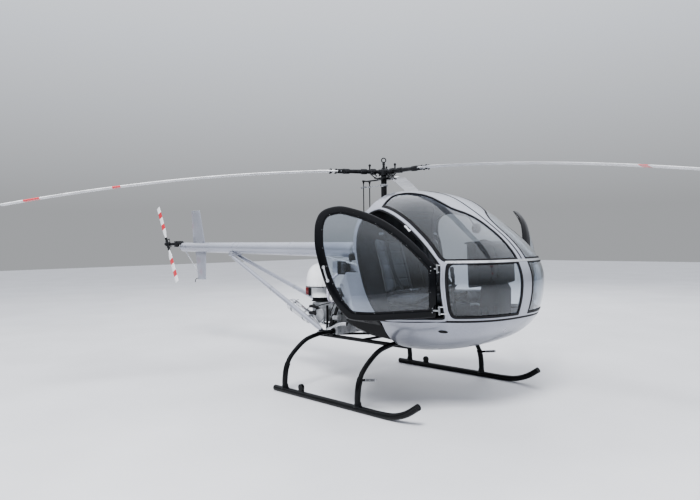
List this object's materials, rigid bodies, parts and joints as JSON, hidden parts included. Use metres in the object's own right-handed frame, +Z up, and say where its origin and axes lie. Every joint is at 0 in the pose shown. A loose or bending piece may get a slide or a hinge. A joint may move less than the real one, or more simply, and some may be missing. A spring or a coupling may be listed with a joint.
{
  "type": "light helicopter",
  "caption": "Light two-seat helicopter with an egg-shaped cabin, open doors, open engine bay, tubular tail boom and skid landing gear.",
  "frame": {"origin": "on the ground under the middle of the outline, rotors at the pictured azimuths", "axes": "+X forward, out of the nose; +Y to the port side; +Z up"},
  "size_m": [8.0022, 6.182, 2.315],
  "materials": {
    "silver_paint": "satin",
    "white_paint": "gloss",
    "black_gloss": "gloss",
    "black_frame": "gloss",
    "seal_rubber": "matte",
    "tinted_glass": "gloss",
    "bare_alloy": "satin",
    "steel": "satin",
    "dark_plastic": "matte",
    "seat_cloth": "matte",
    "red_lens": "gloss"
  },
  "bodies": {
    "airframe": {"canopy_frame": "silver_paint", "belly_shell": "silver_paint", "fuel_tank_left": "silver_paint", "fuel_tank_right": "silver_paint", "tail_boom": "silver_paint", "fin_upper": "silver_paint", "fin_lower": "silver_paint", "fan_shroud": "white_paint", "under_tray": "black_gloss", "skid_left": "black_frame", "skid_right": "black_frame", "cross_tube_front": "black_frame", "cross_tube_rear": "black_frame", "lower_truss": "black_frame", "engine_frame": "black_frame", "sill_seal": "seal_rubber", "windscreen_upper_left": "tinted_glass", "windscreen_upper_right": "tinted_glass", "windscreen_lower_left": "tinted_glass", "windscreen_lower_right": "tinted_glass", "engine": "bare_alloy", "muffler": "bare_alloy", "gearbox": "bare_alloy", "strut_bracket": "bare_alloy", "boom_strut_left": "bare_alloy", "boom_strut_right": "bare_alloy", "tail_brace": "bare_alloy", "tail_gearbox": "bare_alloy", "mast": "steel", "swashplate": "steel", "control_rods": "steel", "rear_bulkhead": "dark_plastic", "cabin_floor": "dark_plastic", "seat_box": "dark_plastic", "console": "dark_plastic", "cyclic_stick_left": "dark_plastic", "cyclic_stick_right": "dark_plastic", "seat_cushion_left": "seat_cloth", "seat_cushion_right": "seat_cloth", "seat_back_left": "seat_cloth", "seat_back_right": "seat_cloth", "rear_lamp": "red_lens"},
    "main_rotor": {"rotor_hub": "black_frame", "main_blade_1": "white_paint", "main_blade_2": "white_paint", "main_blade_3": "white_paint"},
    "tail_rotor": {"tail_rotor_hub": "bare_alloy", "tail_blade_1": "white_paint", "tail_blade_2": "white_paint"},
    "door_left": {"door_frame_left": "black_gloss", "door_glass_left": "tinted_glass"},
    "door_right": {"door_frame_right": "black_gloss", "door_glass_right": "tinted_glass"}
  },
  "joints": [
    {"name": "main_rotor_spin", "type": "hinge", "parent": "airframe", "child": "main_rotor", "pos_m": [0.495, 0, 2.175], "axis": [0, 0, 1], "continuous": true},
    {"name": "tail_rotor_spin", "type": "hinge", "parent": "airframe", "child": "tail_rotor", "pos_m": [-3.675, -0.2, 1.458], "axis": [0, 1, 0], "continuous": true},
    {"name": "door_left_hinge", "type": "hinge", "parent": "airframe", "child": "door_left", "pos_m": [1.741, 0.732, 0.868], "axis": [0.0748, 0.0249, -0.9969], "range_deg": [-66, 4]},
    {"name": "door_right_hinge", "type": "hinge", "parent": "airframe", "child": "door_right", "pos_m": [1.741, -0.732, 0.868], "axis": [-0.0748, 0.0249, 0.9969], "range_deg": [-48, 22]}
  ]
}
